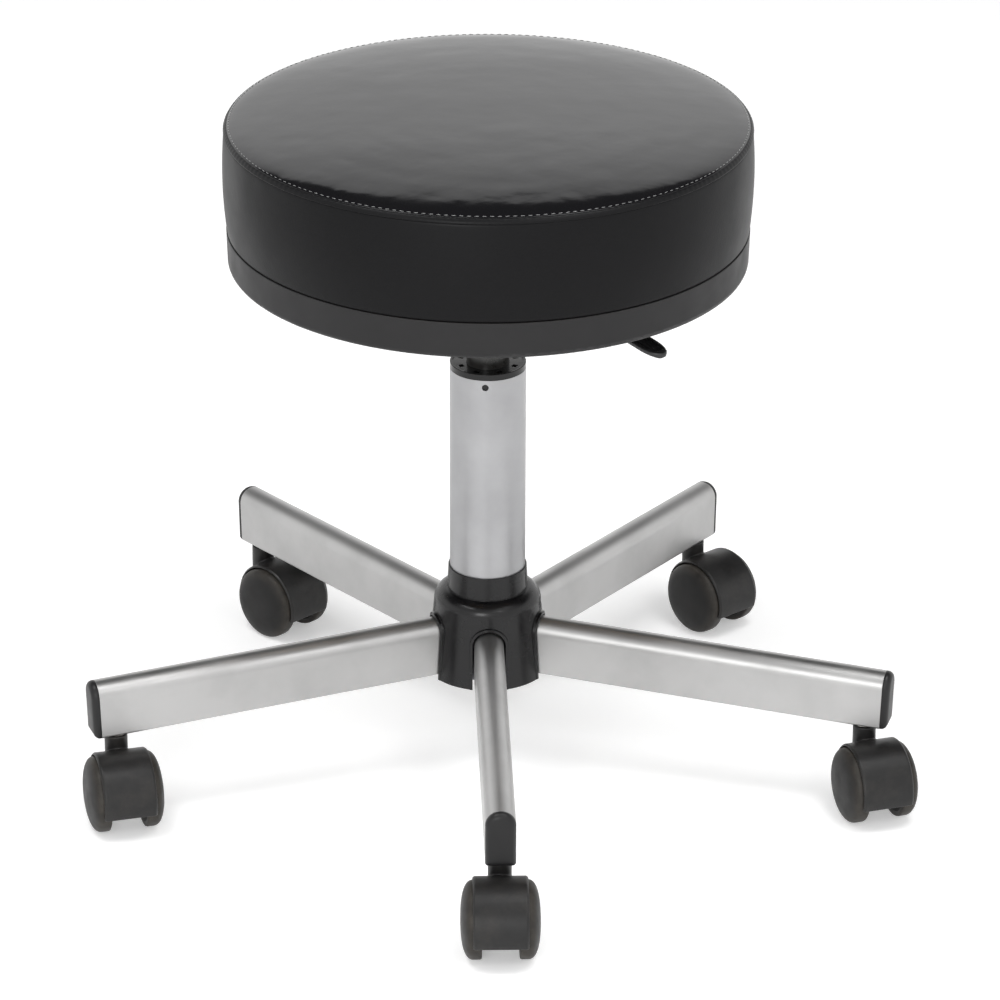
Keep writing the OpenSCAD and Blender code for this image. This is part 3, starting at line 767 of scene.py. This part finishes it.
class STOOL_OT_column(bpy.types.Operator):
    """Finish the column tube, its bush, the rod and the bearing"""
    bl_idname = "stool.column"
    bl_label = "Column"

    def execute(self, context):
        along_z = (1.0, 1.0, 0.04)
        tube = satin_metal("silver_tube", (0.385, 0.385, 0.393), 0.38, along_z, 0.5 * MM, 0.08)
        coat_node("column_tube", tube)
        coat_node("guide_bush", textured_plastic("gloss_bush", (0.005, 0.005, 0.0052), 0.16, 0.5 * MM, 200))
        chrome = satin_metal("rod_chrome", (0.85, 0.85, 0.87), 0.08, (1.0, 1.0, 0.2))
        steel = satin_metal("bearing_steel", (0.7, 0.7, 0.72), 0.18, (1.0, 1.0, 1.0))
        dark = satin_metal("dark_steel", (0.12, 0.12, 0.13), 0.4, (1.0, 1.0, 1.0))
        coat_node("piston_rod", chrome)
        for name in ("bearing_balls", "bearing_lower_race", "bearing_upper_race"):
            coat_node(name, steel)
        for name in ("rod_clip", "column_foot", "hub_core"):
            coat_node(name, dark)
        return {"FINISHED"}


class BaseSettings(bpy.types.PropertyGroup):
    """Sizes of the arms' end caps"""
    reach: bpy.props.FloatProperty(
        name="Arm reach", description="Distance of an arm's end from the column's axis",
        default=270.5 * MM, min=200 * MM, max=400 * MM, unit="LENGTH",
    )
    under: bpy.props.FloatProperty(
        name="Arm underside", description="Height of the arms' underside on the column's axis",
        default=69.03 * MM, min=40 * MM, max=120 * MM, unit="LENGTH",
    )
    fall: bpy.props.FloatProperty(
        name="Arm fall", description="Slope of the arms", default=math.radians(2), subtype="ANGLE",
    )
    width: bpy.props.FloatProperty(
        name="Arm width", description="Width of an arm",
        default=19.5 * MM, min=10 * MM, max=30 * MM, unit="LENGTH",
    )
    height: bpy.props.FloatProperty(
        name="Arm height", description="Height of an arm",
        default=38 * MM, min=25 * MM, max=60 * MM, unit="LENGTH",
    )
    cap: bpy.props.FloatProperty(
        name="Cap", description="How far an end cap stands out",
        default=5 * MM, min=2 * MM, max=10 * MM, unit="LENGTH",
    )
    cap_round: bpy.props.FloatProperty(
        name="Cap rounding", description="Radius of an end cap's edge",
        default=3.9 * MM, min=1 * MM, max=5 * MM, unit="LENGTH",
    )


def arch_outline(width, height, corner, inset):
    """An arm's outline, moved in by inset: a half-round top on straight sides, with rounded lower corners."""
    half = width / 2 - inset
    top = height - width / 2
    corner = max(0.4 * MM, corner - inset * 0.3)
    points = arc((0, top), half, 0, 180, 32)
    points += arc((-half + corner, inset + corner), corner, 180, 270, 8)
    points += arc((half - corner, inset + corner), corner, 270, 360, 8)
    return points


class STOOL_OT_base(bpy.types.Operator):
    """Finish the hub cover and the arms, and make the rounded end caps"""
    bl_idname = "stool.base"
    bl_label = "Base"

    def execute(self, context):
        settings = context.scene.stool_base
        hub = textured_plastic("hub_plastic", (0.0042, 0.004, 0.0044), 0.24, 0.45 * MM, 900, shine=0.34)
        coat_node("hub_cover", hub)
        caps = textured_plastic("cap_plastic", (0.009, 0.0088, 0.0092), 0.4, 0.7 * MM, 900, shine=0.3)
        chrome = satin_metal("arm_chrome", (0.45, 0.447, 0.444), 0.38, (1.0, 1.0, 1.0), 0.5 * MM, 0.08)
        for number in ARM_NUMBERS:
            coat_node(f"arm_{number}", chrome)
            self.end_cap(settings, number, caps)
        return {"FINISHED"}

    @staticmethod
    def end_cap(settings, number, material):
        """One end cap: a push-in plug's head with a rounded edge and a faintly domed face."""
        steps = 8
        marks = [(0.04 * MM, 0.3 * MM), (0.12 * MM, 0.0)]
        for step in range(steps + 1):
            turn = math.pi / 2 * step / steps
            out = settings.cap - settings.cap_round * (1 - math.sin(turn))
            marks.append((out, settings.cap_round * (1 - math.cos(turn))))
        marks += [(settings.cap + 0.12 * MM, settings.cap_round + 1.2 * MM),
                  (settings.cap + 0.2 * MM, settings.cap_round + 3.2 * MM)]
        rings = [
            [(settings.reach + out, side, up)
             for side, up in arch_outline(settings.width, settings.height, 1.9 * MM, inset)]
            for out, inset in marks
        ]
        made = loft(f"cap_{number}", rings)
        stem = JOINTS[f"caster_swivel_{number}"]["pos_m"]
        turned = Matrix.Rotation(math.atan2(stem[1], stem[0]), 4, "Z")
        leaning = Matrix.Rotation(settings.fall, 4, "Y")
        place(made, turned @ Matrix.Translation((0, 0, settings.under)) @ leaning)
        finish_piece(made, "base", material, (f"end_cap_{number}",))


# ---- Casters ----

class CasterSettings(bpy.types.PropertyGroup):
    """Sizes of the casters' moulded parts"""
    hood_wall: bpy.props.FloatProperty(
        name="Hood wall", description="Thickness of the hood",
        default=1.6 * MM, min=1 * MM, max=3 * MM, unit="LENGTH",
    )
    grain: bpy.props.FloatProperty(
        name="Voxel", description="Cell size of the remesh that blends the hood with its neck",
        default=0.48 * MM, min=0.4 * MM, max=1.5 * MM, unit="LENGTH",
    )


def joined(name, parts):
    """Joins mesh objects into one."""
    work = bmesh.new()
    for part in parts:
        work.from_mesh(part.data)
        bpy.data.objects.remove(part)
    mesh = bpy.data.meshes.new(name)
    work.to_mesh(mesh)
    work.free()
    made = bpy.data.objects.new(name, mesh)
    bpy.context.scene.collection.objects.link(made)
    return made


def swept_wall(name, section, start, end, steps):
    """Turns a closed (radius, width) section through part of a turn about the axle, Y, with closed ends."""
    count = len(section)
    vertices = []
    for step in range(steps + 1):
        angle = math.radians(start + (end - start) * step / steps)
        for radius, width in section:
            vertices.append((radius * math.cos(angle), width, radius * math.sin(angle)))
    faces = skin_faces(steps + 1, count)
    faces.append(tuple(range(count)))
    faces.append(tuple(steps * count + i for i in reversed(range(count))))
    return tidy_mesh(new_object(name, vertices, faces))


def drum(name, radius, low, high):
    """A closed cylinder about Z with a chamfered top."""
    chamfer = 0.6 * MM
    profile = [(0.0, low), (radius, low), (radius, high - chamfer), (radius - chamfer, high), (0.0, high)]
    return lathe(name, profile, 64)


def caster_stand(number):
    """A caster's trail, and the matrix that stands a piece about its axle in its place."""
    stem = Vector(JOINTS[f"caster_swivel_{number}"]["pos_m"])
    roll = JOINTS[f"left_wheel_roll_{number}"]
    axle = Vector(roll["pos_m"])
    trail = Vector((axle.x - stem.x, axle.y - stem.y, 0.0))
    across = Vector(roll["axis"]).normalized()
    turn = Matrix((trail.normalized(), across, Vector((0, 0, 1)))).transposed().to_4x4()
    return trail.length, Matrix.Translation(axle) @ turn


class STOOL_OT_casters(bpy.types.Operator):
    """Make the hooded twin-wheel casters: blended hoods and domed wheels with dusty rims"""
    bl_idname = "stool.casters"
    bl_label = "Casters"

    def execute(self, context):
        settings = context.scene.stool_casters
        hood_finish = self.hood_finish()
        wheel_finish = self.wheel_finish()
        zinc = satin_metal("stem_zinc", (0.58, 0.56, 0.52), 0.3, (1.0, 1.0, 1.0))
        hood = self.make_hood(settings, caster_stand(1)[0])
        wheel = self.make_wheel()
        for number in ARM_NUMBERS:
            stand = caster_stand(number)[1]
            shell = bpy.data.objects.new(f"hood_{number}", hood.data.copy())
            bpy.context.scene.collection.objects.link(shell)
            place(shell, stand)
            finish_piece(shell, f"caster_{number}", hood_finish, (f"caster_hood_{number}",))
            for side, sign in (("left", 1), ("right", -1)):
                disc = bpy.data.objects.new(f"{side}_disc_{number}", wheel.data.copy())
                bpy.context.scene.collection.objects.link(disc)
                place(disc, stand @ Matrix.Rotation(math.radians(-90 * sign), 4, "X"))
                finish_piece(disc, f"{side}_wheel_{number}", wheel_finish,
                             (f"wheel_{side}_{number}",))
            coat_node(f"caster_stem_{number}", zinc)
            coat_node(f"caster_axle_{number}", zinc)
        bpy.data.objects.remove(hood)
        bpy.data.objects.remove(wheel)
        return {"FINISHED"}

    @staticmethod
    def make_hood(settings, trail):
        """The hood about its axle at the origin, the stem at -trail along X."""
        low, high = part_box("caster_hood_1")
        axle_height = JOINTS["left_wheel_roll_1"]["pos_m"][2]
        outer = 27.3 * MM
        half = 17.7 * MM
        wall = settings.hood_wall
        drop = low.z - axle_height
        angle = math.degrees(math.asin(-drop / outer))
        lip = 0.8 * MM
        section = [
            (outer - wall, -half), (outer - lip, -half),
            (outer - lip, -half + 1.1 * MM), (outer, -half + 1.2 * MM),
            (outer, half - 1.2 * MM), (outer - lip, half - 1.1 * MM),
            (outer - lip, half), (outer - wall, half),
        ]
        shell = swept_wall("hood_shell", section, -angle, 180 + angle, 72)
        web_half = 5 * MM
        near, far = 0.4 * MM, outer - 0.4 * MM
        web = [(near, -web_half), (far, -web_half), (far, web_half), (near, web_half)]
        plate = swept_wall("hood_web", web, -angle * 0.9, 180 + angle * 0.9, 60)
        neck_top = high.z - axle_height
        neck = drum("hood_neck", 7.6 * MM, low.z - axle_height + 2 * MM, neck_top)
        place(neck, Matrix.Translation((-trail, 0, 0)))
        made = joined("hood", (shell, plate, neck))
        remesh = made.modifiers.new("blend", "REMESH")
        remesh.mode = "VOXEL"
        remesh.voxel_size = settings.grain
        remesh.use_smooth_shade = True
        relax = made.modifiers.new("relax", "SMOOTH")
        relax.factor = 0.5
        relax.iterations = 3
        thin = made.modifiers.new("thin", "DECIMATE")
        thin.ratio = 0.3
        bake_modifiers(made)
        made.data.shade_smooth()
        return made

    @staticmethod
    def make_wheel():
        """One wheel about Z, its outer face up: crowned face, round shoulder, tread and hollow inside."""
        radius = JOINTS["left_wheel_roll_1"]["pos_m"][2]
        face, shoulder, tread_in = 25.2 * MM, 16.9 * MM, 11.9 * MM
        bore = 3.05 * MM
        power = 2.5
        dome = []
        for step in range(19):
            turn = math.radians(90 * step / 18)
            out = math.cos(turn) ** (2 / power)
            up = math.sin(turn) ** (2 / power)
            dome.append((radius * out, shoulder + (face - shoulder) * up))
        profile = [
            (bore, 5.5 * MM), (8 * MM, 5.5 * MM), (8.3 * MM, 17 * MM), (radius - 4 * MM, 15.4 * MM),
            (radius - 3.6 * MM, tread_in + 0.4 * MM), (radius - 3.2 * MM, tread_in),
            (radius - 1 * MM, tread_in), (radius - 0.3 * MM, tread_in + 0.35 * MM),
            (radius, tread_in + 1.1 * MM),
        ]
        profile += dome[:-1]
        profile += [(0.0, face), (0.0, 20 * MM), (bore, 20 * MM)]
        made = lathe("wheel", profile, 112)
        dust = made.data.attributes.new("dust", "FLOAT", "POINT")
        for index, point in enumerate(made.data.vertices):
            reach = point.co.xy.length / radius
            dust.data[index].value = max(0.0, min(1.0, (reach - 0.72) / 0.26)) ** 1.5
        return made

    @staticmethod
    def hood_finish():
        """Black nylon, scuffed and a little dusty."""
        made = Finish("hood_nylon", (0.006, 0.0057, 0.0057), 0.4, Specular_IOR_Level=0.36)
        base = made.color_by(made.noise(150, 6, 0.7), (0.0028, 0.0027, 0.0028), (0.0105, 0.01, 0.01))
        dust = made.spread(made.noise(48, 8, 0.75), 0.46, 0.8, 0.0, 0.5)
        made.color_over(base, dust, (0.034, 0.030, 0.026))
        made.roughness_by(made.noise(80, 4), 0.34, 0.5)
        made.relief(made.noise(420, 5, 0.65), 0.00008, 0.7)
        return made.material

    @staticmethod
    def wheel_finish():
        """Black nylon with a rim that floor dust has browned."""
        made = Finish("wheel_nylon", (0.0065, 0.0062, 0.006), 0.44, Specular_IOR_Level=0.25)
        base = made.color_by(made.noise(70, 4, 0.6), (0.005, 0.0047, 0.0047), (0.0092, 0.0088, 0.0085))
        patches = made.spread(made.noise(120, 5, 0.65), 0.25, 0.75, 0.15, 0.85)
        grime = made.multiply(made.attribute("dust"), patches)
        made.color_over(base, grime, (0.045, 0.039, 0.032))
        made.roughness_by(made.noise(90, 4), 0.42, 0.6)
        made.relief(made.noise(1300, 2), 0.00003, 0.6)
        return made.material


# ---- Stage ----

class StageSettings(bpy.types.PropertyGroup):
    """The studio: camera, floor and light"""
    distance: bpy.props.FloatProperty(
        name="Distance", description="Distance of the camera from the column, along the floor",
        default=3.173, min=1.0, max=10.0, unit="LENGTH",
    )
    height: bpy.props.FloatProperty(
        name="Height", description="Height of the camera", default=1.633, min=0.1, max=5.0, unit="LENGTH",
    )
    pitch: bpy.props.FloatProperty(
        name="Pitch", description="How far the camera looks down",
        default=math.radians(24.516), subtype="ANGLE",
    )
    yaw: bpy.props.FloatProperty(
        name="Yaw", description="How far the camera looks to the right",
        default=math.radians(0.147), subtype="ANGLE",
    )
    roll: bpy.props.FloatProperty(
        name="Roll", description="How far the camera leans",
        default=math.radians(0.186), subtype="ANGLE",
    )
    lens: bpy.props.FloatProperty(
        name="Lens", description="Focal length in millimetres", default=190.1, min=20.0, max=400.0,
    )
    floor_color: bpy.props.FloatVectorProperty(
        name="Floor", description="Colour of the floor", default=(0.9, 0.9, 0.9), size=3, subtype="COLOR",
    )
    floor_glow: bpy.props.FloatProperty(
        name="Glow", description="How much the light floor glows",
        default=0.3, min=0.0, max=1.0, subtype="FACTOR",
    )


# The backdrop's brightness at rising steps of the sine of the elevation; above it comes the ceiling
BACKDROP = ((0.38, 1.0), (0.50, 0.78), (0.548, 0.6), (0.562, 0.0))
# Name, place, height of the point it is aimed at, size in metres and power in watts
SOFTBOXES = (
    ("softbox_right", (0.58, -0.36, 1.75), 0.15, 0.7, 11),
    ("softbox_left", (-0.68, -0.33, 1.75), 0.15, 0.7, 11),
    ("front_box", (-0.7, -3.0, 1.0), 0.25, 1.0, 22),
    ("low_right", (1.0, -1.7, 1.75), 0.15, 0.45, 4),
)


class STOOL_OT_stage(bpy.types.Operator):
    """Set up the camera, the pale floor, the backdrop's light and the soft boxes"""
    bl_idname = "stool.stage"
    bl_label = "Stage"

    def execute(self, context):
        settings = context.scene.stool_stage
        self.camera(context, settings)
        self.floor(settings)
        self.sky(context)
        for name, place_at, target_height, size, power in SOFTBOXES:
            self.softbox(name, place_at, (0, 0, target_height), size, power)
        context.scene.view_settings.view_transform = "Standard"
        return {"FINISHED"}

    @staticmethod
    def camera(context, settings):
        """Places the camera; it looks along its own -Z."""
        data = bpy.data.cameras.new("camera")
        data.lens = settings.lens
        data.sensor_width = 36
        made = bpy.data.objects.new("camera", data)
        context.scene.collection.objects.link(made)
        made.location = (0, -settings.distance, settings.height)
        ahead = Vector((
            math.sin(settings.yaw) * math.cos(settings.pitch),
            math.cos(settings.yaw) * math.cos(settings.pitch),
            -math.sin(settings.pitch),
        ))
        right = ahead.cross(Vector((0, 0, 1))).normalized()
        up = right.cross(ahead)
        leant = math.cos(settings.roll) * right + math.sin(settings.roll) * up
        upright = -math.sin(settings.roll) * right + math.cos(settings.roll) * up
        made.rotation_euler = Matrix((leant, upright, -ahead)).transposed().to_euler()
        context.scene.camera = made

    @staticmethod
    def floor(settings):
        """A wide pale floor."""
        half = 6.0
        made = new_object("floor", [(-half, -half, 0), (half, -half, 0), (half, half, 0), (-half, half, 0)],
                          [(0, 1, 2, 3)])
        finish = Finish("floor_paint", tuple(settings.floor_color), 0.9, Specular_IOR_Level=0.1,
                        Emission_Color=(1.0, 1.0, 1.0, 1.0), Emission_Strength=settings.floor_glow)
        finish.roughness_by(finish.noise(3, 2), 0.85, 0.95)
        made.data.materials.append(finish.material)

    @staticmethod
    def sky(context):
        """A light backdrop all round up to its top edge, and a dark ceiling above it."""
        world = context.scene.world or bpy.data.worlds.new("studio")
        context.scene.world = world
        world.use_nodes = True
        tree = world.node_tree
        tree.nodes.clear()
        direction = add_node(tree, "ShaderNodeTexCoord", {}).outputs["Generated"]
        parts = add_node(tree, "ShaderNodeSeparateXYZ", {"Vector": direction}).outputs
        ramp = add_node(tree, "ShaderNodeValToRGB", {"Fac": parts["Z"]})
        ramp.color_ramp.elements[1].color = (0.0, 0.0, 0.0, 1.0)
        ramp.color_ramp.elements[0].color = (1.0, 1.0, 1.0, 1.0)
        for position, level in BACKDROP:
            ramp.color_ramp.elements.new(position).color = (level, level, level, 1.0)
        cloud = add_node(tree, "ShaderNodeTexNoise", {"Scale": 3.0, "Vector": direction})
        strength = add_node(tree, "ShaderNodeMapRange", {
            "To Min": 1.0, "To Max": 1.5, "Value": cloud.outputs["Fac"],
        })
        ceiling = add_node(tree, "ShaderNodeMapRange", {
            "From Min": 0.15, "From Max": -0.4, "To Min": 0.015, "To Max": 0.65, "Value": parts["Y"],
        }, interpolation_type="SMOOTHSTEP")
        blend = add_node(tree, "ShaderNodeMix", {
            "Factor": ramp.outputs["Color"], "A": ceiling.outputs["Result"], "B": (1.0, 1.0, 1.0, 1.0),
        }, data_type="RGBA")
        light = add_node(tree, "ShaderNodeBackground", {
            "Color": blend.outputs["Result"], "Strength": strength.outputs["Result"],
        })
        add_node(tree, "ShaderNodeOutputWorld", {"Surface": light.outputs["Background"]})

    @staticmethod
    def softbox(name, place_at, target, size, power):
        """A square soft light aimed at a point."""
        data = bpy.data.lights.new(name, "AREA")
        data.shape = "SQUARE"
        data.size = size
        data.energy = power
        made = bpy.data.objects.new(name, data)
        bpy.context.scene.collection.objects.link(made)
        made.location = place_at
        made.rotation_euler = (Vector(target) - Vector(place_at)).to_track_quat("-Z", "Y").to_euler()


class STOOL_PT_panel(bpy.types.Panel):
    """The stool's pieces in the order they are made"""
    bl_idname = "STOOL_PT_panel"
    bl_label = "Swivel stool"
    bl_space_type = "VIEW_3D"
    bl_region_type = "UI"
    bl_category = "Stool"

    def draw(self, context):
        for operator in OPERATORS:
            self.layout.operator(operator.bl_idname)


OPERATORS = (
    STOOL_OT_stage, STOOL_OT_seat_top, STOOL_OT_seat_side, STOOL_OT_seam, STOOL_OT_stitches,
    STOOL_OT_under_seat, STOOL_OT_lever, STOOL_OT_column, STOOL_OT_base, STOOL_OT_casters,
)
SETTINGS = {
    "stool_seat": SeatSettings, "stool_lever": LeverSettings, "stool_base": BaseSettings,
    "stool_casters": CasterSettings, "stool_stage": StageSettings,
}
CLASSES = (*SETTINGS.values(), *OPERATORS, STOOL_PT_panel)


def register():
    for made in CLASSES:
        bpy.utils.register_class(made)
    for name, group in SETTINGS.items():
        setattr(bpy.types.Scene, name, bpy.props.PointerProperty(type=group))


def unregister():
    for name in SETTINGS:
        delattr(bpy.types.Scene, name)
    for made in reversed(CLASSES):
        bpy.utils.unregister_class(made)


def main():
    register()
    bpy.ops.stool.stage()
    bpy.ops.stool.seat_top()
    bpy.ops.stool.seat_side()
    bpy.ops.stool.seam()
    bpy.ops.stool.stitches()
    bpy.ops.stool.under_seat()
    bpy.ops.stool.lever()
    bpy.ops.stool.column()
    bpy.ops.stool.base()
    bpy.ops.stool.casters()


if __name__ == "__main__":
    main()
